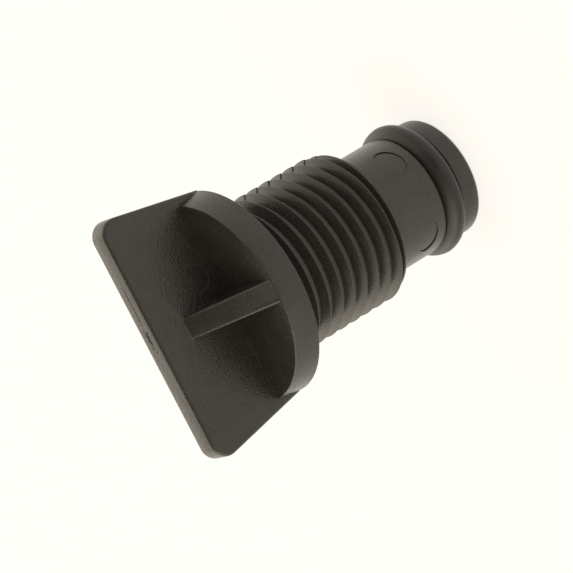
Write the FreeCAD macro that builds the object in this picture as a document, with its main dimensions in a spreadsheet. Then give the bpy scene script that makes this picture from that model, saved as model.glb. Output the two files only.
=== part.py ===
# Radiator drain plug: a moulded wing-handled screw with an O-ring near its tip.
# Millimetres. The plug stands on its flat tip end, its screw axis is Z, the handle is on top.
import FreeCAD, Part
import os
import Sketcher

# Driving dimensions: name, value, what it measures
SIZES = (
    ("overall_length", 36.0, "tip end face to the outer edge of the handle"),
    ("handle_width", 25.0, "wing plate across its outer edge, before its corners are rounded"),
    ("plate_thickness", 2.5, "wing plate"),
    ("corner_radius", 1.6, "the two outer corners of the wing plate"),
    ("flange_setback", 8.4, "outer edge of the handle to the flange's handle face"),
    ("flange_thickness", 2.6, "flange along the axis"),
    ("flange_face_diameter", 20.2, "flange at its handle face"),
    ("flange_seat_diameter", 21.0, "flange at its seating face"),
    ("rim_chamfer", 0.15, "broken edges of the flange's rim"),
    ("rib_thickness", 2.3, "gusset that braces the plate on the flange"),
    ("rib_setback", 3.8, "outer edge of the handle to the gusset's toe"),
    ("rib_inset", 0.15, "gusset's foot inside the flange's handle face edge"),
    ("thread_diameter", 15.45, "thread over its crests"),
    ("thread_pitch", 1.5, "one turn of the single-start right-hand thread"),
    ("thread_depth", 0.92, "crest to root"),
    ("thread_angle", 60.0, "included angle of the thread, in degrees"),
    ("root_width", 0.2, "flat at the bottom of the thread"),
    ("thread_length", 14.0, "flange's seating face to the end of the thread"),
    ("neck_diameter", 12.1, "plain pilot between the thread and the O-ring"),
    ("tip_diameter", 12.0, "land beyond the O-ring"),
    ("tip_round", 0.6, "rounded edge of the tip"),
    ("ring_level", 3.4, "tip end face to the middle of the O-ring"),
    ("ring_bore", 8.8, "O-ring's inner diameter"),
    ("ring_section", 2.4, "O-ring's cord diameter"),
    ("ring_side_gap", 0.05, "groove wall to the O-ring, on each side"),
    ("ring_seat_gap", 0.02, "groove floor to the O-ring"),
    ("edge_round", 0.3, "small rounding on the handle's moulded edges"),
)

document = FreeCAD.newDocument("drain_plug")
sheet = document.addObject("Spreadsheet::Sheet", "Sizes")
for row, (name, value, note) in enumerate(SIZES, start=1):
    sheet.set(f"A{row}", name)
    sheet.set(f"B{row}", str(value))
    sheet.set(f"C{row}", note)
    sheet.setAlias(f"B{row}", name)
document.recompute()

# Levels and radii that several features share, each written once from the driving dimensions
FLANGE_FACE = "(Sizes.overall_length - Sizes.flange_setback)"
FLANGE_SEAT = f"({FLANGE_FACE} - Sizes.flange_thickness)"
THREAD_END = f"({FLANGE_SEAT} - Sizes.thread_length)"
GROOVE_HALF = "(Sizes.ring_section / 2 + Sizes.ring_side_gap)"
GROOVE_RADIUS = "(Sizes.ring_bore / 2 - Sizes.ring_seat_gap)"
CREST_RADIUS = "(Sizes.thread_diameter / 2)"
ROOT_RADIUS = f"({CREST_RADIUS} - Sizes.thread_depth)"
FLANK_SLOPE = "tan(Sizes.thread_angle * 1deg / 2)"
PLATE_HALF = "(Sizes.plate_thickness / 2)"
EDGE_HALF_WIDTH = "(Sizes.handle_width / 2)"
SEAT_RADIUS = "(Sizes.flange_seat_diameter / 2)"
FACE_RADIUS = "(Sizes.flange_face_diameter / 2)"

TOLERANCE = 1e-4


def size(expression):
    """The value of an expression over the sheet, as a plain number."""
    value = sheet.evalExpression(expression)
    return float(getattr(value, "Value", value))


def origin_feature(body, role):
    """One of the body's own origin planes or axes."""
    return next(item for item in body.Origin.OriginFeatures if item.Role == role)


def hold_point(sketch, edge, across, along):
    """Fix the start of a sketch line by its two coordinates, and name what has to be bound."""
    held = {}
    for kind, axis, expression in (("DistanceX", -2, across), ("DistanceY", -1, along)):
        if expression == "0":
            sketch.addConstraint(Sketcher.Constraint("PointOnObject", edge, 1, axis))
            continue
        index = sketch.addConstraint(
            Sketcher.Constraint(kind, -1, 1, edge, 1, size(expression)))
        name = f"corner_{edge}_{kind[-1].lower()}"
        sketch.renameConstraint(index, name)
        held[name] = expression
    return held


def round_corner(sketch, corner, radius):
    """Replace a corner of the outline by a tangent arc, keeping the corner as a point."""
    sketch.fillet(corner, 1, size(radius), True, True)
    arc = max(number for number, item in enumerate(sketch.Geometry)
              if isinstance(item, Part.ArcOfCircle))
    index = sketch.addConstraint(Sketcher.Constraint("Radius", arc, size(radius)))
    name = f"round_{corner}"
    sketch.renameConstraint(index, name)
    return {name: radius}


def outline(body, name, role, points, level="0", rounded=()):
    """A closed sketch of straight lines whose corners are expressions over the sheet."""
    sketch = body.newObject("Sketcher::SketchObject", name)
    sketch.AttachmentSupport = (origin_feature(body, role), [""])
    sketch.MapMode = "FlatFace"
    if level != "0":
        sketch.setExpression("AttachmentOffset.Base.z", level)
    corners = [FreeCAD.Vector(size(across), size(along), 0) for across, along in points]
    for here, there in zip(corners, corners[1:] + corners[:1]):
        sketch.addGeometry(Part.LineSegment(here, there), False)
    for edge in range(len(points)):
        after = (edge + 1) % len(points)
        sketch.addConstraint(Sketcher.Constraint("Coincident", edge, 2, after, 1))
    bound = {}
    for edge, (across, along) in enumerate(points):
        bound.update(hold_point(sketch, edge, across, along))
    for corner, radius in rounded:
        bound.update(round_corner(sketch, corner, radius))
    for constraint, expression in bound.items():
        sketch.setExpression(f"Constraints.{constraint}", expression)
    return sketch


def revolve(body, name, sketch):
    feature = body.newObject("PartDesign::Revolution", name)
    feature.Profile = sketch
    feature.ReferenceAxis = (sketch, ["V_Axis"])
    feature.Angle = 360
    return feature


def pad_both_ways(body, name, sketch, thickness):
    feature = body.newObject("PartDesign::Pad", name)
    feature.Profile = sketch
    feature.SideType = "Symmetric"
    feature.setExpression("Length", thickness)
    return feature


def shank(body):
    """Tip, O-ring groove, neck and the plain blank of the thread, turned about the axis."""
    ring_low = f"Sizes.ring_level - {GROOVE_HALF}"
    ring_high = f"Sizes.ring_level + {GROOVE_HALF}"
    profile = outline(body, "shank_profile", "XZ_Plane", (
        ("0", "0"),
        ("Sizes.tip_diameter / 2", "0"),
        ("Sizes.tip_diameter / 2", ring_low),
        (GROOVE_RADIUS, ring_low),
        (GROOVE_RADIUS, ring_high),
        ("Sizes.neck_diameter / 2", ring_high),
        ("Sizes.neck_diameter / 2", THREAD_END),
        (CREST_RADIUS, THREAD_END),
        (CREST_RADIUS, FLANGE_SEAT),
        ("0", FLANGE_SEAT)), rounded=((1, "Sizes.tip_round"),))
    return revolve(body, "shank", profile)


def thread(body):
    """The helical groove. It starts clear below the blank and runs out of its top."""
    above_crest = "Sizes.thread_depth * 0.25"
    start = f"({THREAD_END} - Sizes.thread_pitch * 1.5)"
    root_half = "Sizes.root_width / 2"
    mouth_half = f"({root_half} + (Sizes.thread_depth + {above_crest}) * {FLANK_SLOPE})"
    profile = outline(body, "groove_profile", "XZ_Plane", (
        (ROOT_RADIUS, f"{start} - {root_half}"),
        (f"{CREST_RADIUS} + {above_crest}", f"{start} - {mouth_half}"),
        (f"{CREST_RADIUS} + {above_crest}", f"{start} + {mouth_half}"),
        (ROOT_RADIUS, f"{start} + {root_half}")))
    groove = body.newObject("PartDesign::SubtractiveHelix", "thread")
    groove.Profile = profile
    groove.ReferenceAxis = (profile, ["V_Axis"])
    groove.Mode = "pitch-height-angle"
    groove.setExpression("Pitch", "Sizes.thread_pitch")
    groove.setExpression("Height", "Sizes.thread_length + Sizes.thread_pitch * 2")
    groove.LeftHanded = False
    groove.Reversed = False
    return groove


def flange(body):
    """Round flange whose rim widens towards the seating face, its two edges broken."""
    lean = f"(({SEAT_RADIUS} - {FACE_RADIUS}) / Sizes.flange_thickness)"
    profile = outline(body, "flange_profile", "XZ_Plane", (
        ("0", FLANGE_SEAT),
        (f"{SEAT_RADIUS} - Sizes.rim_chamfer", FLANGE_SEAT),
        (f"{SEAT_RADIUS} - {lean} * Sizes.rim_chamfer", f"{FLANGE_SEAT} + Sizes.rim_chamfer"),
        (f"{FACE_RADIUS} + {lean} * Sizes.rim_chamfer", f"{FLANGE_FACE} - Sizes.rim_chamfer"),
        (f"{FACE_RADIUS} - Sizes.rim_chamfer", FLANGE_FACE),
        ("0", FLANGE_FACE)))
    return revolve(body, "flange", profile)


def wing_plate(body):
    """Flat wing across the flange, its sides closing in to the flange's seating edge."""
    profile = outline(body, "plate_profile", "XZ_Plane", (
        (SEAT_RADIUS, FLANGE_SEAT),
        (EDGE_HALF_WIDTH, "Sizes.overall_length"),
        (f"-{EDGE_HALF_WIDTH}", "Sizes.overall_length"),
        (f"-{SEAT_RADIUS}", FLANGE_SEAT)),
        rounded=((1, "Sizes.corner_radius"), (2, "Sizes.corner_radius")))
    return pad_both_ways(body, "wing_plate", profile, "Sizes.plate_thickness")


def gusset(body):
    """Rib square to the plate, from a toe on each of its faces down to the flange's edge."""
    reach = f"({FACE_RADIUS} - Sizes.rib_inset)"
    toe = "Sizes.overall_length - Sizes.rib_setback"
    profile = outline(body, "rib_profile", "YZ_Plane", (
        (reach, FLANGE_FACE),
        (PLATE_HALF, toe),
        (f"-{PLATE_HALF}", toe),
        (f"-{reach}", FLANGE_FACE)))
    return pad_both_ways(body, "gusset", profile, "Sizes.rib_thickness")


def round_edges(body, name, base, radius, wanted):
    """Round the edges of the last feature that the test picks."""
    document.recompute()
    picked = [f"Edge{number}" for number, edge in enumerate(base.Shape.Edges, start=1)
              if wanted(edge)]
    feature = body.newObject("PartDesign::Fillet", name)
    feature.Base = (base, picked)
    feature.setExpression("Radius", radius)
    return feature


def close_to(value, other):
    return abs(value - other) < TOLERANCE


def middle_of(edge):
    return edge.valueAt((edge.FirstParameter + edge.LastParameter) / 2)


def is_gusset_slope(edge):
    """The four sloping edges along the gusset."""
    middle = middle_of(edge)
    return (close_to(abs(middle.x), size("Sizes.rib_thickness / 2"))
            and middle.z > size(FLANGE_FACE) + TOLERANCE
            and abs(middle.y) > size(PLATE_HALF) + TOLERANCE)


def is_wing_edge(edge):
    """The edges round both faces of the wing plate, apart from those at the gusset."""
    middle = middle_of(edge)
    on_face = close_to(abs(middle.y), size(PLATE_HALF))
    on_outer_edge = close_to(middle.z, size("Sizes.overall_length"))
    beside_gusset = (middle.z > size(FLANGE_FACE) - TOLERANCE
                     and abs(middle.x) > size("Sizes.rib_thickness / 2") + TOLERANCE)
    return on_face and (on_outer_edge or beside_gusset)


def handle_half():
    """Flange, wing plate and gusset."""
    body = document.addObject("PartDesign::Body", "handle")
    round_edges(body, "gusset_round", gusset(body), "Sizes.edge_round", is_gusset_slope)
    round_edges(body, "wing_round", wing_plate(body), "Sizes.edge_round", is_wing_edge)
    flange(body)
    return body


def screw_half():
    """Everything below the flange's seating face."""
    body = document.addObject("PartDesign::Body", "screw")
    shank(body)
    thread(body)
    return body


def drain_plug():
    """The moulding: handle and screw are one piece, joined at the flange's seating face."""
    plug = document.addObject("Part::Fuse", "drain_plug")
    plug.Label = "drain_plug"
    plug.Base = handle_half()
    plug.Tool = screw_half()
    plug.Refine = True
    return plug


def o_ring():
    """Rubber ring in the groove near the tip."""
    ring = document.addObject("Part::Torus", "o_ring")
    ring.Label = "o_ring"
    ring.setExpression("Radius1", "(Sizes.ring_bore + Sizes.ring_section) / 2")
    ring.setExpression("Radius2", "Sizes.ring_section / 2")
    ring.setExpression("Placement.Base.z", "Sizes.ring_level")
    return ring


pieces = (drain_plug(), o_ring())
document.recompute()
for item in document.Objects:
    if "Invalid" in item.State or "Error" in item.State:
        raise RuntimeError(f"{item.Label} failed to build: {item.State}")
for piece in pieces:
    if piece.Shape.isNull() or not piece.Shape.isValid() or len(piece.Shape.Solids) != 1:
        raise RuntimeError(f"{piece.Label} is not one valid solid")

os.makedirs("parts", exist_ok=True)
for piece in pieces:
    piece.Shape.exportStep(f"parts/{piece.Label}.step")
    print(piece.Label, round(piece.Shape.Volume, 1), "mm3")
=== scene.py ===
import math

import bmesh
import bpy
from mathutils import Matrix, Vector


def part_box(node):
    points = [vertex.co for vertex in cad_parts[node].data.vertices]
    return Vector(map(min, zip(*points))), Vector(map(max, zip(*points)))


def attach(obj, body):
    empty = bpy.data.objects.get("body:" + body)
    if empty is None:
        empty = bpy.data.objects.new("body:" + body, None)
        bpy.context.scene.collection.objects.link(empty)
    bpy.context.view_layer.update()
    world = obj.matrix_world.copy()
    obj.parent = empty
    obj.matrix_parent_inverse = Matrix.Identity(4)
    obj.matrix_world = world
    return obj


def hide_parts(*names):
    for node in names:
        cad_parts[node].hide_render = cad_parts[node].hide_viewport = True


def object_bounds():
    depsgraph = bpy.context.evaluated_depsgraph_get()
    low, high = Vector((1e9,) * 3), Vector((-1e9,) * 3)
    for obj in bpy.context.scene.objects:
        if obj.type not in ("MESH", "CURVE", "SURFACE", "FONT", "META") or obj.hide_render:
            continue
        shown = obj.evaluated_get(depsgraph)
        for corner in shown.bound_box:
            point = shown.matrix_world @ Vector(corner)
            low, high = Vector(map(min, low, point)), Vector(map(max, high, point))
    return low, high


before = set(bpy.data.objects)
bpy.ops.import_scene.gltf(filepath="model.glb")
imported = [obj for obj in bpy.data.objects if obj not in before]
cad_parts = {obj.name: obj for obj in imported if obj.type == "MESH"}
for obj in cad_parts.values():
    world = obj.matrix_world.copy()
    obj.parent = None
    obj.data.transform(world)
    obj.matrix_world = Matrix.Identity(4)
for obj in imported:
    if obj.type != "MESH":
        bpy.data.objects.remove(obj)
cadLow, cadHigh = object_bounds()
millimetre = 0.001  # the pieces are drawn in millimetres and brought to metres at the end
plugHeight = round(cadHigh.z / millimetre, 2)
ringLow, ringHigh = (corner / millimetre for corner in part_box("o_ring"))
print("frame loaded, plug height in mm:", plugHeight)


# Mesh helpers, all in millimetres

def meshPiece(name, vertices, faces):
    mesh = bpy.data.meshes.new(name)
    mesh.from_pydata([tuple(v) for v in vertices], [], faces)
    shape = bmesh.new()
    shape.from_mesh(mesh)
    bmesh.ops.remove_doubles(shape, verts=shape.verts, dist=1e-5)
    bmesh.ops.recalc_face_normals(shape, faces=shape.faces)
    shape.to_mesh(mesh)
    shape.free()
    piece = bpy.data.objects.new(name, mesh)
    bpy.context.scene.collection.objects.link(piece)
    return piece


def lofted(name, lowRing, highRing):
    count = len(lowRing)  # two outlines of as many points, joined and closed
    sides = [(i, (i + 1) % count, count + (i + 1) % count, count + i) for i in range(count)]
    ends = [tuple(reversed(range(count))), tuple(range(count, 2 * count))]
    return meshPiece(name, list(lowRing) + list(highRing), sides + ends)


def turned(name, profile, steps):
    vertices = []
    faces = []
    for i in range(steps):
        angle = 2 * math.pi * i / steps
        vertices += [(r * math.cos(angle), r * math.sin(angle), z) for r, z in profile]
    count = len(profile)
    for i in range(steps):
        here = i * count
        there = (i + 1) % steps * count
        for j in range(count - 1):
            corners = [here + j, there + j, there + j + 1, here + j + 1]
            if profile[j][0] == 0:
                corners = [here, there + 1, here + 1]
            elif profile[j + 1][0] == 0:
                corners = [here + j, there + j, here + j + 1]
            faces.append(corners)
    return meshPiece(name, vertices, faces)


def roundCorner(before, corner, after, radius, steps=6):
    corner = Vector(corner)  # arc that touches both lines of a drawn corner
    toBefore = (Vector(before) - corner).normalized()
    toAfter = (Vector(after) - corner).normalized()
    half = toBefore.angle(toAfter) / 2
    centre = corner + (toBefore + toAfter).normalized() * radius / math.sin(half)
    start = corner + toBefore * radius / math.tan(half) - centre
    end = corner + toAfter * radius / math.tan(half) - centre
    sweep = start.angle(end)
    points = []
    for i in range(steps + 1):
        share = i / steps
        blend = start * math.sin((1 - share) * sweep) + end * math.sin(share * sweep)
        points.append(tuple(centre + blend / math.sin(sweep)))
    return points


def settle(piece):
    graph = bpy.context.evaluated_depsgraph_get()
    baked = bpy.data.meshes.new_from_object(piece.evaluated_get(graph))
    piece.modifiers.clear()
    piece.data = baked
    return piece


def roundEdges(piece, radius, segments, wanted):
    weights = piece.data.attributes.new("bevel_weight_edge", "FLOAT", "EDGE")
    for edge in piece.data.edges:
        ends = [piece.data.vertices[i].co for i in edge.vertices]
        weights.data[edge.index].value = 1.0 if wanted(*ends) else 0.0
    bevel = piece.modifiers.new("round", "BEVEL")
    bevel.limit_method = "WEIGHT"
    bevel.width = radius
    bevel.segments = segments
    bevel.use_clamp_overlap = False
    return settle(piece)


def combine(target, tool, operation):
    boolean = target.modifiers.new("combine", "BOOLEAN")
    boolean.operation = operation
    boolean.solver = "EXACT"
    boolean.object = tool
    settle(target)
    bpy.data.objects.remove(tool)
    return target


# Node helpers

def nodeIn(tree, kind, values=None, **settings):
    node = tree.nodes.new(kind)
    for key, value in settings.items():
        setattr(node, key, value)
    for key, value in (values or {}).items():
        if isinstance(value, bpy.types.NodeSocket):
            tree.links.new(value, node.inputs[key])
        else:
            node.inputs[key].default_value = value
    return node


def mathIn(tree, operation, first, second=None, third=None, clamp=False):
    values = {i: v for i, v in enumerate((first, second, third)) if v is not None}
    return nodeIn(tree, "ShaderNodeMath", values, operation=operation, use_clamp=clamp).outputs[0]


def newTree(name, kind, inputs, outputs):
    tree = bpy.data.node_groups.new(name, kind)
    for label, socketType, value in inputs:
        socket = tree.interface.new_socket(label, in_out="INPUT", socket_type=socketType)
        if value is not None:
            socket.default_value = value
    for label, socketType in outputs:
        tree.interface.new_socket(label, in_out="OUTPUT", socket_type=socketType)
    return tree, tree.nodes.new("NodeGroupInput").outputs, tree.nodes.new("NodeGroupOutput")


def growFrom(piece, tree, values):
    modifier = piece.modifiers.new(tree.name, "NODES")
    modifier.node_group = tree
    for item in tree.interface.items_tree:
        if item.in_out == "INPUT" and item.name in values:
            modifier[item.identifier] = values[item.name]
    return settle(piece)


# Shader groups that the materials share

texture = {
    "cloudScale": 0.55, "fleckLimit": 0.74, "fleckReach": 0.2, "fleckGain": 8.0,
    "wearHighlightStart": 0.995, "wearHighlightFull": 0.86, "patchScale": 4.0,
    "darkShare": 0.3, "paleShare": 1.7, "toneLow": 0.3, "toneHigh": 0.7,
}


def makeGrainGroup():
    # Fine spark-eroded mould texture: height, tone and pale fibre flecks
    tree, given, out = newTree("mouldGrain", "ShaderNodeTree", (
        ("Position", "NodeSocketVector", None),
        ("Grain Size mm", "NodeSocketFloat", 0.12),
        ("Fleck Size mm", "NodeSocketFloat", 0.16),
        ("Fleck Amount", "NodeSocketFloat", 0.3)), (
        ("Height", "NodeSocketFloat"), ("Tone", "NodeSocketFloat"), ("Fleck", "NodeSocketFloat")))
    place = nodeIn(tree, "ShaderNodeVectorMath", {0: given["Position"], "Scale": 1 / millimetre},
                   operation="SCALE").outputs[0]
    grainScale = mathIn(tree, "DIVIDE", 1.0, given["Grain Size mm"])
    fleckScale = mathIn(tree, "DIVIDE", 1.0, given["Fleck Size mm"])
    grain = nodeIn(tree, "ShaderNodeTexNoise", {"Vector": place, "Scale": grainScale,
                                                "Detail": 2.0, "Roughness": 0.6}).outputs["Fac"]
    pits = nodeIn(tree, "ShaderNodeTexVoronoi", {"Vector": place, "Scale": grainScale},
                  feature="SMOOTH_F1").outputs["Distance"]
    cloud = nodeIn(tree, "ShaderNodeTexNoise", {"Vector": place, "Scale": texture["cloudScale"],
                                                "Detail": 3.0}).outputs["Fac"]
    speck = nodeIn(tree, "ShaderNodeTexNoise", {"Vector": place, "Scale": fleckScale,
                                                "Detail": 1.0}).outputs["Fac"]
    height = mathIn(tree, "MULTIPLY_ADD", pits, 0.6, mathIn(tree, "MULTIPLY", grain, 0.7))
    lower = mathIn(tree, "MULTIPLY", given["Fleck Amount"], texture["fleckReach"])
    limit = mathIn(tree, "SUBTRACT", texture["fleckLimit"], lower)
    fleck = mathIn(tree, "MULTIPLY", mathIn(tree, "SUBTRACT", speck, limit),
                   texture["fleckGain"], clamp=True)
    tone = mathIn(tree, "MULTIPLY_ADD", grain, 0.6, mathIn(tree, "MULTIPLY", cloud, 0.4))
    tree.links.new(height, out.inputs["Height"])
    tree.links.new(tone, out.inputs["Tone"])
    tree.links.new(fleck, out.inputs["Fleck"])
    return tree


def makeWearAndHighlightGroup():
    # Convex edges lightened, partly as rubbed wear and partly as painted highlight, found where a
    # rounded normal leaves the true one
    tree, given, out = newTree("edgeWearAndHighlight", "ShaderNodeTree", (
        ("Position", "NodeSocketVector", None),
        ("Edge Width mm", "NodeSocketFloat", 0.12),
        ("Breakup", "NodeSocketFloat", 0.9)), (("Mask", "NodeSocketFloat"),))
    radius = mathIn(tree, "MULTIPLY", given["Edge Width mm"], millimetre)
    bevel = nodeIn(tree, "ShaderNodeBevel", {"Radius": radius}, samples=6).outputs[0]
    normal = nodeIn(tree, "ShaderNodeNewGeometry").outputs["Normal"]
    turn = nodeIn(tree, "ShaderNodeVectorMath", {0: bevel, 1: normal},
                  operation="DOT_PRODUCT").outputs["Value"]
    edge = nodeIn(tree, "ShaderNodeMapRange", {
        "Value": turn, "From Min": texture["wearHighlightStart"], "From Max": texture["wearHighlightFull"],
        "To Min": 0.0, "To Max": 1.0}).outputs[0]
    place = nodeIn(tree, "ShaderNodeVectorMath", {0: given["Position"], "Scale": 1 / millimetre},
                   operation="SCALE").outputs[0]
    patches = nodeIn(tree, "ShaderNodeTexNoise", {"Vector": place,
                                                  "Scale": texture["patchScale"],
                                                  "Detail": 3.0}).outputs["Fac"]
    keep = mathIn(tree, "SUBTRACT", 1.0, mathIn(tree, "MULTIPLY", patches, given["Breakup"]))
    tree.links.new(mathIn(tree, "MULTIPLY", edge, keep, clamp=True), out.inputs["Mask"])
    return tree


grainGroup = makeGrainGroup()
wearAndHighlightGroup = makeWearAndHighlightGroup()

finishes = {
    "grainedNylon": {"base": (0.026, 0.0235, 0.0198), "wornAndHighlight": (0.11, 0.104, 0.094),
                     "fleck": (0.055, 0.051, 0.045), "grain": 0.16, "fleckSize": 0.13,
                     "flecks": 0.6, "edge": 0.09, "rough": (0.20, 0.30), "relief": 0.042,
                     "specular": 0.5},
    # The thread's pale edge colour paints bright highlight lines along its crests, on top of some
    # rubbed wear
    "threadNylon": {"base": (0.025, 0.0228, 0.0193), "wornAndHighlight": (0.27, 0.255, 0.225),
                    "fleck": (0.06, 0.056, 0.05), "grain": 0.17, "fleckSize": 0.14,
                    "flecks": 0.5, "edge": 0.045, "rough": (0.24, 0.32), "relief": 0.014,
                    "specular": 0.5},
    # The tip and neck take a lighter base than the rest of the same nylon: painted light for the
    # brighter light on that low end
    "smoothNylonPaintedLight": {"base": (0.032, 0.0296, 0.0253), "wornAndHighlight": (0.060, 0.056, 0.050),
                    "fleck": (0.08, 0.076, 0.068), "grain": 0.22, "fleckSize": 0.2,
                    "flecks": 0.3, "edge": 0.10, "rough": (0.24, 0.32), "relief": 0.010,
                    "specular": 0.5},
    "sealRubber": {"base": (0.017, 0.0158, 0.0135), "wornAndHighlight": (0.035, 0.033, 0.029),
                   "fleck": (0.09, 0.085, 0.075), "grain": 0.30, "fleckSize": 0.35,
                   "flecks": 0.05, "edge": 0.05, "rough": (0.30, 0.40), "relief": 0.014,
                   "specular": 0.4},
}


def makeFinish(name):
    look = finishes[name]
    material = bpy.data.materials.new(name)
    material.use_nodes = True
    tree = material.node_tree
    shader = tree.nodes["Principled BSDF"]
    place = nodeIn(tree, "ShaderNodeTexCoord").outputs["Object"]
    grain = nodeIn(tree, "ShaderNodeGroup", node_tree=grainGroup)
    tree.links.new(place, grain.inputs["Position"])
    grain.inputs["Grain Size mm"].default_value = look["grain"]
    grain.inputs["Fleck Size mm"].default_value = look["fleckSize"]
    grain.inputs["Fleck Amount"].default_value = look["flecks"]
    wearAndHighlight = nodeIn(tree, "ShaderNodeGroup", node_tree=wearAndHighlightGroup)
    tree.links.new(place, wearAndHighlight.inputs["Position"])
    wearAndHighlight.inputs["Edge Width mm"].default_value = look["edge"]
    dark = tuple(texture["darkShare"] * part for part in look["base"])
    pale = tuple(texture["paleShare"] * part for part in look["base"])
    body = nodeIn(tree, "ShaderNodeMix", {0: grain.outputs["Tone"], 6: (*dark, 1),
                                          7: (*pale, 1)}, data_type="RGBA").outputs[2]
    flecked = nodeIn(tree, "ShaderNodeMix", {0: grain.outputs["Fleck"], 6: body,
                                             7: (*look["fleck"], 1)}, data_type="RGBA").outputs[2]
    # Edges take the worn colour: partly rubbed wear, partly painted highlight
    colour = nodeIn(tree, "ShaderNodeMix", {0: wearAndHighlight.outputs["Mask"], 6: flecked,
                                            7: (*look["wornAndHighlight"], 1)}, data_type="RGBA").outputs[2]
    tree.links.new(colour, shader.inputs["Base Color"])
    low, high = look["rough"]
    rough = nodeIn(tree, "ShaderNodeMapRange", {
        "Value": grain.outputs["Tone"], "From Min": texture["toneLow"],
        "From Max": texture["toneHigh"], "To Min": low, "To Max": high})
    tree.links.new(rough.outputs[0], shader.inputs["Roughness"])
    bump = nodeIn(tree, "ShaderNodeBump", {"Strength": 1.0,
                                           "Distance": look["relief"] * millimetre,
                                           "Height": grain.outputs["Height"]})
    tree.links.new(bump.outputs[0], shader.inputs["Normal"])
    shader.inputs["Specular IOR Level"].default_value = look["specular"]
    shader.inputs["IOR"].default_value = 1.5
    return material


materials = {name: makeFinish(name) for name in finishes}
print("materials made:", ", ".join(materials))


# Handle: wing plate, flange and gusset

handle = {
    "outerWidth": 25.0, "thickness": 2.5, "cornerRadius": 1.6,
    "flangeFace": plugHeight - 8.4, "flangeSeat": plugHeight - 11.0,
    "faceRadius": 10.1, "seatRadius": 10.5, "seatRound": 0.06, "rimRound": 0.14,
    "ribThickness": 2.3, "ribMiddle": -0.12, "ribToe": plugHeight - 3.3, "ribInset": 0.15,
    "toeRound": 0.25, "ribSunk": 1.0, "ribOverlap": 0.4,
    "edgeRound": 0.3, "edgeSegments": 4, "steps": 256,
}
plateHalf = handle["thickness"] / 2
ribHalf = handle["ribThickness"] / 2
flangeFace = handle["flangeFace"]
flangeSeat = handle["flangeSeat"]


def makePlate():
    top = handle["outerWidth"] / 2
    corner = roundCorner((handle["seatRadius"], flangeSeat), (top, plugHeight),
                         (0, plugHeight), handle["cornerRadius"], 12)
    right = [(handle["seatRadius"], flangeSeat)] + corner
    outline = right + [(-x, z) for x, z in reversed(right)]
    plate = lofted("plate", [(x, -plateHalf, z) for x, z in outline],
                   [(x, plateHalf, z) for x, z in outline])

    def isRim(a, b):
        return abs(a.y - b.y) < 1e-4 and max(a.z, b.z) > flangeSeat + 0.1
    return roundEdges(plate, handle["edgeRound"], handle["edgeSegments"], isRim)


def makeFlange():
    low = (handle["seatRadius"], flangeSeat)
    high = (handle["faceRadius"], flangeFace)
    profile = [(0, flangeSeat)]
    profile += roundCorner((0, flangeSeat), low, high, handle["seatRound"])
    profile += roundCorner(low, high, (0, flangeFace), handle["rimRound"])
    profile += [(0, flangeFace)]
    return turned("flange", profile, handle["steps"])


def makeRib():
    reach = handle["faceRadius"] - handle["ribInset"]
    sunk = flangeFace - handle["ribSunk"]
    foot = (-reach, flangeFace)
    toe = (-plateHalf, handle["ribToe"])
    curve = roundCorner(foot, toe, (-plateHalf, plugHeight), handle["toeRound"])
    side = [(-reach, sunk), foot] + curve
    side += [(-plateHalf + handle["ribOverlap"], curve[-1][1])]
    outline = side + [(-y, z) for y, z in reversed(side)]
    middle = handle["ribMiddle"]
    rib = lofted("rib", [(middle - ribHalf, y, z) for y, z in outline],
                 [(middle + ribHalf, y, z) for y, z in outline])

    def isSlope(a, b):
        sameSide = abs(a.x - b.x) < 1e-4
        middle = (a + b) / 2
        return sameSide and middle.z > flangeFace + 0.05 and abs(middle.y) > plateHalf
    return roundEdges(rib, handle["edgeRound"], handle["edgeSegments"], isSlope)


handleBody = makeFlange()
for part in (makePlate(), makeRib()):
    combine(handleBody, part, "UNION")
print("handle joined, faces:", len(handleBody.data.polygons))


# Marks that the mould leaves on the handle

marks = {
    "pinX": 3.45, "pinZ": 29.4, "pinRadius": 1.3, "pinDepth": 0.06,
    "lineFrom": 6.6, "lineTo": 2.05, "lineWidth": 0.13, "lineDepth": 0.2,
    "scarFrom": 1.5, "scarTo": 0.05, "scarWidth": 0.34, "scarDepth": 0.1,
    "roughFrom": 1.7, "roughTo": -1.4, "roughWidth": 0.9, "pits": 46, "pitRadius": 0.1,
    "pitHeight": 0.02, "seed": 7,
}


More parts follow.
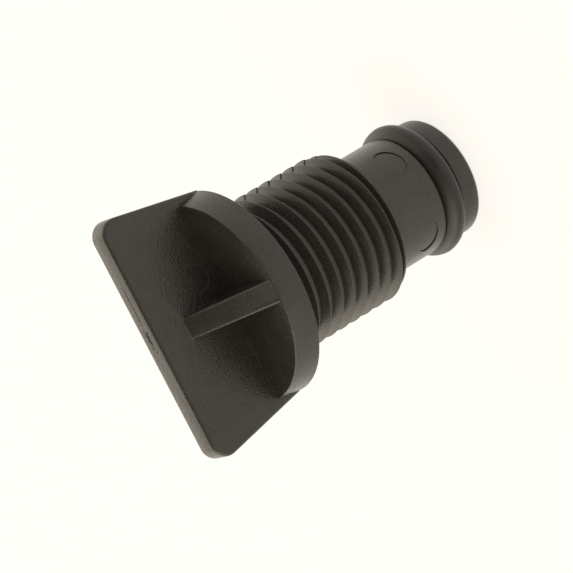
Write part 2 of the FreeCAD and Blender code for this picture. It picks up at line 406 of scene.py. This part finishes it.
def makePitTree():
    # Torn little pits scattered over a strip, used to roughen the place of the gate
    tree, given, out = newTree("scarPits", "GeometryNodeTree", (
        ("Geometry", "NodeSocketGeometry", None),
        ("Pits", "NodeSocketInt", 40), ("From", "NodeSocketVector", None),
        ("To", "NodeSocketVector", None), ("Pit Radius", "NodeSocketFloat", 0.1),
        ("Seed", "NodeSocketInt", 1), ("Material", "NodeSocketMaterial", None)),
        (("Geometry", "NodeSocketGeometry"),))
    row = nodeIn(tree, "GeometryNodePoints", {"Count": given["Pits"]}).outputs[0]
    spot = nodeIn(tree, "FunctionNodeRandomValue", {
        0: given["From"], 1: given["To"], "Seed": given["Seed"]},
        data_type="FLOAT_VECTOR").outputs[0]
    spread = nodeIn(tree, "GeometryNodeSetPosition", {"Geometry": row, "Position": spot}).outputs[0]
    ball = nodeIn(tree, "GeometryNodeMeshIcoSphere", {
        "Radius": given["Pit Radius"], "Subdivisions": 2}).outputs["Mesh"]
    again = mathIn(tree, "ADD", given["Seed"], 5)
    small = nodeIn(tree, "FunctionNodeRandomValue", {
        0: (0.5, 0.35, 0.4), 1: (1.5, 1.0, 0.8), "Seed": again},
        data_type="FLOAT_VECTOR").outputs[0]
    placed = nodeIn(tree, "GeometryNodeInstanceOnPoints", {
        "Points": spread, "Instance": ball, "Scale": small}).outputs[0]
    loose = nodeIn(tree, "GeometryNodeRealizeInstances", {"Geometry": placed}).outputs[0]
    merged = nodeIn(tree, "GeometryNodeMeshBoolean", {"Self Intersection": True},
                    operation="UNION", solver="EXACT")
    tree.links.new(loose, merged.inputs["Mesh 2"])
    real = nodeIn(tree, "GeometryNodeRealizeInstances",
                  {"Geometry": merged.outputs["Mesh"]}).outputs[0]
    painted = nodeIn(tree, "GeometryNodeSetMaterial",
                     {"Geometry": real, "Material": given["Material"]}).outputs[0]
    tree.links.new(painted, out.inputs["Geometry"])
    return tree


def cutMarks(body):
    ring = [(math.cos(2 * math.pi * i / 48), math.sin(2 * math.pi * i / 48)) for i in range(48)]
    face = -plateHalf
    pin = [[(marks["pinX"] + marks["pinRadius"] * c, y, marks["pinZ"] + marks["pinRadius"] * s)
            for c, s in ring] for y in (face - 1, face + marks["pinDepth"])]
    combine(body, lofted("pinMark", *pin), "DIFFERENCE")
    for key in ("line", "scar"):
        middle = (marks[key + "From"] + marks[key + "To"]) / 2
        length = (marks[key + "From"] - marks[key + "To"]) / 2
        width = marks[key + "Width"] / 2
        floorLevel = plugHeight - marks[key + "Depth"]
        low = [(middle + 0.8 * length * c, 0.4 * width * s, floorLevel) for c, s in ring]
        high = [(middle + length * c, width * s, plugHeight + 0.001) for c, s in ring]
        combine(body, lofted(key, low, high), "DIFFERENCE")
    half = marks["roughWidth"] / 2
    level = plugHeight + marks["pitHeight"]
    pits = meshPiece("pits", [], [])
    growFrom(pits, makePitTree(), {
        "Pits": marks["pits"], "From": (marks["roughTo"], -half, level),
        "To": (marks["roughFrom"], half, level), "Pit Radius": marks["pitRadius"],
        "Seed": marks["seed"], "Material": materials["grainedNylon"]})
    return combine(body, pits, "DIFFERENCE")


cutMarks(handleBody)
print("handle marked, faces:", len(handleBody.data.polygons))


# Screw: tip, O-ring groove and neck turned in one, with the thread grown on it by nodes

screw = {
    "tipRadius": 6.0, "tipRound": 0.6, "neckRadius": 6.05, "shoulderRound": 0.12,
    "grooveRadius": 4.38, "grooveGap": 0.05, "threadEnd": flangeSeat - 14.0,
    "crestRadius": 7.725, "depth": 0.92, "pitch": 1.5, "rootWidth": 0.37, "crestRound": 0.04,
    "flankAngle": 30.0, "crestAtX": 23.013, "stepsPerTurn": 128, "steps": 256,
    "collarRadius": 7.3, "collarWidth": 0.22, "collarRound": 0.08, "leadSlope": 1.0,
    "ridgeSunk": 0.25, "turnsAbove": 3, "flangeOverlap": 1.0, "smoothAngle": 32,
    "mismatch": (0.07, 0.0, 0.05),  # the far mould half sits this far from the near one
    "markX": 3.77, "markZ": 7.1, "markRadius": 1.37, "markDepth": 0.1,
    "pinReach": 12.0, "coreLow": 4.0, "coreHigh": 10.5,
}
rootRadius = screw["crestRadius"] - screw["depth"]


def makeShank():
    gapLow = ringLow.z - screw["grooveGap"]
    gapHigh = ringHigh.z + screw["grooveGap"]
    tip = screw["tipRadius"]
    neck = screw["neckRadius"]
    soft = screw["shoulderRound"]
    end = screw["threadEnd"]
    profile = [(0, 0)]
    profile += roundCorner((0, 0), (tip, 0), (tip, gapLow), screw["tipRound"], 8)
    profile += roundCorner((tip, 0), (tip, gapLow), (0, gapLow), soft, 4)
    profile += [(screw["grooveRadius"], gapLow), (screw["grooveRadius"], gapHigh)]
    profile += roundCorner((0, gapHigh), (neck, gapHigh), (neck, end), soft, 4)
    collar = screw["collarRadius"]
    collarTop = end + screw["collarWidth"]
    foot = collarTop + (collar - rootRadius) * math.tan(math.radians(screw["flankAngle"]))
    profile += roundCorner((neck, gapHigh), (neck, end), (collar, end), soft, 4)
    profile += roundCorner((neck, end), (collar, end), (collar, collarTop),
                           screw["collarRound"], 4)
    profile += [(collar, collarTop), (rootRadius, foot)]
    inFlange = flangeSeat + screw["flangeOverlap"]
    profile += [(rootRadius, inFlange), (0, inFlange)]
    return turned("shank", profile, screw["steps"])


def markNeck(body):
    # Two ejector pins shaped to the neck leave shallow discs on one side
    for hand in (-1, 1):
        ring = [2 * math.pi * i / 64 for i in range(64)]
        outline = [(hand * screw["markX"] + screw["markRadius"] * math.cos(a),
                    screw["markZ"] + screw["markRadius"] * math.sin(a)) for a in ring]
        pin = lofted("pin", [(x, -screw["pinReach"], z) for x, z in outline],
                     [(x, 0, z) for x, z in outline])
        floorRadius = screw["neckRadius"] - screw["markDepth"]
        low, high = screw["coreLow"], screw["coreHigh"]
        core = turned("core", [(0, low), (floorRadius, low), (floorRadius, high), (0, high)],
                      screw["steps"])
        combine(body, combine(pin, core, "DIFFERENCE"), "DIFFERENCE")
    return body


def makeThreadTree():
    tree, given, out = newTree("helicalThread", "GeometryNodeTree", (
        ("Geometry", "NodeSocketGeometry", None),
        ("Path Radius", "NodeSocketFloat", 7.0), ("Pitch", "NodeSocketFloat", 1.5),
        ("Turns", "NodeSocketFloat", 12.0), ("Start Level", "NodeSocketFloat", 9.0),
        ("Ridge Height", "NodeSocketFloat", 1.0), ("Foot Width", "NodeSocketFloat", 1.3),
        ("Crest Width", "NodeSocketFloat", 0.2), ("Crest Round", "NodeSocketFloat", 0.05),
        ("Low End", "NodeSocketFloat", 11.0), ("High End", "NodeSocketFloat", 25.0),
        ("Lead Radius", "NodeSocketFloat", 7.3), ("Lead Slope", "NodeSocketFloat", 1.0),
        ("Mismatch", "NodeSocketVector", None),
        ("Steps Per Turn", "NodeSocketInt", 96), ("Material", "NodeSocketMaterial", None)),
        (("Geometry", "NodeSocketGeometry"),))
    rise = mathIn(tree, "MULTIPLY", given["Pitch"], given["Turns"])
    helix = nodeIn(tree, "GeometryNodeCurveSpiral", {
        "Resolution": given["Steps Per Turn"], "Rotations": given["Turns"],
        "Start Radius": given["Path Radius"], "End Radius": given["Path Radius"],
        "Height": rise, "Reverse": True}).outputs[0]  # reversed, it climbs right-handed
    level = nodeIn(tree, "ShaderNodeCombineXYZ", {"Z": given["Start Level"]}).outputs[0]
    lifted = nodeIn(tree, "GeometryNodeTransform",
                    {"Geometry": helix, "Translation": level}).outputs[0]
    upright = nodeIn(tree, "GeometryNodeSetCurveNormal", {"Curve": lifted},
                     mode="Z_UP").outputs[0]
    section = nodeIn(tree, "GeometryNodeCurvePrimitiveQuadrilateral", {
        "Height": given["Ridge Height"], "Bottom Width": given["Foot Width"],
        "Top Width": given["Crest Width"], "Offset": 0.0}, mode="TRAPEZOID").outputs[0]
    outward = nodeIn(tree, "GeometryNodeTransform", {
        "Geometry": section, "Rotation": (0, 0, -math.pi / 2)}).outputs[0]
    softened = nodeIn(tree, "GeometryNodeFilletCurve", {
        "Curve": outward, "Radius": given["Crest Round"], "Limit Radius": True,
        "Count": 3}, mode="POLY").outputs[0]
    ridge = nodeIn(tree, "GeometryNodeCurveToMesh", {
        "Curve": upright, "Profile Curve": softened, "Fill Caps": True}).outputs[0]
    span = mathIn(tree, "SUBTRACT", given["High End"], given["Low End"])
    wide = mathIn(tree, "MULTIPLY_ADD", span, given["Lead Slope"], given["Lead Radius"])
    blank = nodeIn(tree, "GeometryNodeMeshCone", {
        "Vertices": given["Steps Per Turn"], "Radius Bottom": given["Lead Radius"],
        "Radius Top": wide, "Depth": span}).outputs["Mesh"]
    place = nodeIn(tree, "ShaderNodeCombineXYZ", {"Z": given["Low End"]}).outputs[0]
    limits = nodeIn(tree, "GeometryNodeTransform",
                    {"Geometry": blank, "Translation": place}).outputs[0]
    cut = nodeIn(tree, "GeometryNodeMeshBoolean", operation="INTERSECT", solver="EXACT")
    tree.links.new(ridge, cut.inputs["Mesh 2"])
    tree.links.new(limits, cut.inputs["Mesh 2"])
    joined = nodeIn(tree, "GeometryNodeMeshBoolean", operation="UNION", solver="EXACT")
    tree.links.new(given["Geometry"], joined.inputs["Mesh 2"])
    reach = 40  # size of each half's block, which laps over the parting plane a little
    lap = 0.03
    for side in (-1, 1):  # one moulded half in front of the parting plane, one behind it
        block = nodeIn(tree, "GeometryNodeMeshCube",
                       {"Size": (2 * reach, reach, 2 * reach)}).outputs["Mesh"]
        beside = nodeIn(tree, "GeometryNodeTransform", {
            "Geometry": block, "Translation": (0, side * (reach / 2 - lap), reach / 2)}).outputs[0]
        half = nodeIn(tree, "GeometryNodeMeshBoolean", operation="INTERSECT", solver="EXACT")
        tree.links.new(cut.outputs["Mesh"], half.inputs["Mesh 2"])
        tree.links.new(beside, half.inputs["Mesh 2"])
        moulded = half.outputs["Mesh"]
        if side == 1:
            moulded = nodeIn(tree, "GeometryNodeTransform", {
                "Geometry": moulded, "Translation": given["Mismatch"]}).outputs[0]
        tree.links.new(moulded, joined.inputs["Mesh 2"])
    real = nodeIn(tree, "GeometryNodeRealizeInstances",
                  {"Geometry": joined.outputs["Mesh"]}).outputs[0]
    painted = nodeIn(tree, "GeometryNodeSetMaterial",
                     {"Geometry": real, "Material": given["Material"]}).outputs[0]
    tree.links.new(painted, out.inputs["Geometry"])
    return tree


def makeScrew():
    body = markNeck(makeShank())
    sunk = screw["ridgeSunk"]
    flank = math.tan(math.radians(screw["flankAngle"]))
    foot = screw["pitch"] - screw["rootWidth"] + 2 * sunk * flank
    crest = foot - 2 * (screw["depth"] + sunk) * flank
    turnsBelow = math.ceil((screw["crestAtX"] - screw["threadEnd"]) / screw["pitch"]) + 1
    turns = turnsBelow + screw["turnsAbove"]
    growFrom(body, makeThreadTree(), {
        "Path Radius": screw["crestRadius"] - (screw["depth"] + sunk) / 2,
        "Pitch": screw["pitch"], "Turns": float(turns),
        "Start Level": screw["crestAtX"] - turnsBelow * screw["pitch"],
        "Ridge Height": screw["depth"] + sunk, "Foot Width": foot, "Crest Width": crest,
        "Crest Round": screw["crestRound"], "Low End": screw["threadEnd"] + 0.02,
        "High End": flangeSeat + 0.5, "Lead Radius": screw["collarRadius"],
        "Lead Slope": screw["leadSlope"], "Mismatch": screw["mismatch"],
        "Steps Per Turn": screw["stepsPerTurn"],
        "Material": materials["threadNylon"]})
    print("thread grown, crest width in mm:", round(crest, 3))
    return body


def finishMesh(piece, smoothAngle):
    shape = bmesh.new()
    shape.from_mesh(piece.data)
    manySided = [face for face in shape.faces if len(face.verts) > 4]
    bmesh.ops.triangulate(shape, faces=manySided)
    bmesh.ops.remove_doubles(shape, verts=shape.verts, dist=0.0003)
    bmesh.ops.recalc_face_normals(shape, faces=shape.faces)
    shape.to_mesh(piece.data)
    shape.free()
    piece.data.transform(Matrix.Scale(millimetre, 4))
    for polygon in piece.data.polygons:
        polygon.use_smooth = True
    piece.data.set_sharp_from_angle(angle=math.radians(smoothAngle))
    return piece


def paintPlug(piece):
    names = ("grainedNylon", "threadNylon", "smoothNylonPaintedLight")
    piece.data.materials.clear()
    for name in names:
        piece.data.materials.append(materials[name])
    for polygon in piece.data.polygons:
        level = polygon.center.z / millimetre
        if level > flangeSeat - 0.01:
            polygon.material_index = 0
        elif level > screw["threadEnd"] - 0.01:
            polygon.material_index = 1
        # the tip and neck get the lighter nylon, whose colour carries painted light
        else:
            polygon.material_index = 2
    return piece


plug = makeScrew()
combine(plug, handleBody, "UNION")
plug.name = "plug_moulding"
paintPlug(finishMesh(plug, screw["smoothAngle"]))
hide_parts("drain_plug")
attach(plug, "root")
print("plug joined, faces:", len(plug.data.polygons))


# O-ring: a cord swept round, with the faint line of its mould

ring = {"mouldLine": 0.02, "lineHalfWidth": 0.09, "unevenness": 0.012,
        "stepsAround": 192, "stepsAcross": 40, "smoothAngle": 60}


def makeRingTree():
    tree, given, out = newTree("mouldedRing", "GeometryNodeTree", (
        ("Geometry", "NodeSocketGeometry", None),
        ("Ring Radius", "NodeSocketFloat", 5.6), ("Cord Radius", "NodeSocketFloat", 1.2),
        ("Level", "NodeSocketFloat", 3.4), ("Mould Line", "NodeSocketFloat", 0.02),
        ("Line Half Width", "NodeSocketFloat", 0.09), ("Unevenness", "NodeSocketFloat", 0.01),
        ("Steps Around", "NodeSocketInt", 128), ("Steps Across", "NodeSocketInt", 32),
        ("Seed", "NodeSocketFloat", 4.0), ("Material", "NodeSocketMaterial", None)),
        (("Geometry", "NodeSocketGeometry"),))
    path = nodeIn(tree, "GeometryNodeCurvePrimitiveCircle", {
        "Resolution": given["Steps Around"], "Radius": given["Ring Radius"]},
        mode="RADIUS").outputs[0]
    cord = nodeIn(tree, "GeometryNodeCurvePrimitiveCircle", {
        "Resolution": given["Steps Across"], "Radius": given["Cord Radius"]},
        mode="RADIUS").outputs[0]
    swept = nodeIn(tree, "GeometryNodeCurveToMesh",
                   {"Curve": path, "Profile Curve": cord}).outputs[0]
    position = nodeIn(tree, "GeometryNodeInputPosition").outputs[0]
    normal = nodeIn(tree, "GeometryNodeInputNormal").outputs[0]
    height = nodeIn(tree, "ShaderNodeSeparateXYZ", {0: position}).outputs["Z"]
    near = nodeIn(tree, "ShaderNodeMapRange", {
        "Value": mathIn(tree, "ABSOLUTE", height), "From Min": 0.0,
        "From Max": given["Line Half Width"], "To Min": given["Mould Line"],
        "To Max": 0.0}).outputs[0]
    noise = nodeIn(tree, "ShaderNodeTexNoise", {
        "Vector": position, "W": given["Seed"], "Scale": 0.6}, noise_dimensions="4D").outputs[0]
    uneven = mathIn(tree, "MULTIPLY", mathIn(tree, "SUBTRACT", noise, 0.6), given["Unevenness"])
    offset = nodeIn(tree, "ShaderNodeVectorMath", {
        0: normal, "Scale": mathIn(tree, "ADD", near, uneven)}, operation="SCALE").outputs[0]
    moved = nodeIn(tree, "GeometryNodeSetPosition",
                   {"Geometry": swept, "Offset": offset}).outputs[0]
    level = nodeIn(tree, "ShaderNodeCombineXYZ", {"Z": given["Level"]}).outputs[0]
    placed = nodeIn(tree, "GeometryNodeTransform",
                    {"Geometry": moved, "Translation": level}).outputs[0]
    real = nodeIn(tree, "GeometryNodeRealizeInstances", {"Geometry": placed}).outputs[0]
    painted = nodeIn(tree, "GeometryNodeSetMaterial",
                     {"Geometry": real, "Material": given["Material"]}).outputs[0]
    tree.links.new(painted, out.inputs["Geometry"])
    return tree


cordRadius = (ringHigh.z - ringLow.z) / 2
seal = meshPiece("seal_ring", [], [])
growFrom(seal, makeRingTree(), {
    "Ring Radius": ringHigh.x - cordRadius, "Cord Radius": cordRadius,
    "Level": (ringHigh.z + ringLow.z) / 2, "Mould Line": ring["mouldLine"],
    "Line Half Width": ring["lineHalfWidth"], "Unevenness": ring["unevenness"],
    "Steps Around": ring["stepsAround"], "Steps Across": ring["stepsAcross"],
    "Material": materials["sealRubber"]})
finishMesh(seal, ring["smoothAngle"])
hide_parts("o_ring")
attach(seal, "root")
print("ring swept, faces:", len(seal.data.polygons))


# Floor, light and camera

studio = {
    "floorColour": (0.86, 0.86, 0.86), "floorSize": 3.0, "floorGlow": 0.74, "glowLevel": 1.14,
    "glowColour": (1.0, 0.965, 0.91), "light": (1.0, 0.92, 0.78),
    "cameraPlace": (0.04050, -0.30760, 0.20027),
    "cameraRight": (-0.45531, -0.49480, -0.74018), "cameraUp": (0.88255, -0.14113, -0.44854),
    "lens": 241.8, "sensor": 36.0, "clipStart": 0.01, "floorRough": 0.9, "boxEdge": 0.35,
}
softBoxes = {  # azimuth from the near side towards +X, elevation and level of each broad light
    "left": (-88, 8, 2.2), "back": (-170, 12, 1.3), "backRight": (145, 12, 0.7),
    "right": (100, 12, 0.8), "highRight": (45, 45, 0.36), "frontLeft": (-42, 8, 0.74),
}


def makeFloor():
    half = studio["floorSize"] / 2
    floor = meshPiece("floor", [(-half, -half, 0), (half, -half, 0), (half, half, 0),
                                (-half, half, 0)], [(0, 1, 2, 3)])
    material = bpy.data.materials.new("paleFloor")
    material.use_nodes = True
    tree = material.node_tree
    shader = tree.nodes["Principled BSDF"]
    shader.inputs["Base Color"].default_value = (*studio["floorColour"], 1)
    shader.inputs["Roughness"].default_value = studio["floorRough"]
    path = nodeIn(tree, "ShaderNodeLightPath").outputs
    seen = mathIn(tree, "ADD", path["Is Camera Ray"], path["Is Glossy Ray"])
    seen = mathIn(tree, "ADD", seen, path["Is Transmission Ray"], clamp=True)
    glow = nodeIn(tree, "ShaderNodeEmission", {"Color": (*studio["glowColour"], 1),
                                               "Strength": studio["glowLevel"]})
    share = mathIn(tree, "MULTIPLY", seen, studio["floorGlow"])
    mix = nodeIn(tree, "ShaderNodeMixShader", {0: share, 1: shader.outputs[0],
                                               2: glow.outputs[0]})
    tree.links.new(mix.outputs[0], tree.nodes["Material Output"].inputs["Surface"])
    floor.data.materials.append(material)


def makeWorld():
    world = bpy.data.worlds.new("studio")
    bpy.context.scene.world = world
    world.use_nodes = True
    tree = world.node_tree
    background = tree.nodes["Background"]
    direction = nodeIn(tree, "ShaderNodeTexCoord").outputs["Generated"]
    level = 0.0
    for azimuth, elevation, boxLevel in softBoxes.values():
        turn = math.radians(azimuth)
        lift = math.radians(elevation)
        middle = (math.sin(turn) * math.cos(lift), -math.cos(turn) * math.cos(lift), math.sin(lift))
        facing = nodeIn(tree, "ShaderNodeVectorMath", {0: direction, 1: middle},
                        operation="DOT_PRODUCT").outputs["Value"]
        box = nodeIn(tree, "ShaderNodeMapRange", {
            "Value": facing, "From Min": studio["boxEdge"], "From Max": 1.0, "To Min": 0.0,
            "To Max": boxLevel}, interpolation_type="SMOOTHSTEP").outputs[0]
        level = mathIn(tree, "ADD", box, level)
    cameraRay = nodeIn(tree, "ShaderNodeLightPath").outputs["Is Camera Ray"]
    strength = nodeIn(tree, "ShaderNodeMix", {0: cameraRay, 2: level, 3: 1.0}).outputs[0]
    tree.links.new(strength, background.inputs["Strength"])
    colour = nodeIn(tree, "ShaderNodeMix", {0: cameraRay, 6: (*studio["light"], 1),
                                            7: (1, 1, 1, 1)}, data_type="RGBA").outputs[2]
    tree.links.new(colour, background.inputs["Color"])


def makeCamera():
    right = Vector(studio["cameraRight"]).normalized()
    up = Vector(studio["cameraUp"])
    up = (up - right * up.dot(right)).normalized()
    back = right.cross(up)
    camera = bpy.data.objects.new("camera", bpy.data.cameras.new("camera"))
    bpy.context.scene.collection.objects.link(camera)
    turn = Matrix((right, up, back)).transposed().to_4x4()
    camera.matrix_world = Matrix.Translation(studio["cameraPlace"]) @ turn
    camera.data.lens = studio["lens"]
    camera.data.sensor_width = studio["sensor"]
    camera.data.clip_start = studio["clipStart"]
    bpy.context.scene.camera = camera


makeFloor()
makeWorld()
makeCamera()
bpy.context.scene.view_settings.view_transform = "Standard"
print("studio set")

bpy.context.view_layer.update()
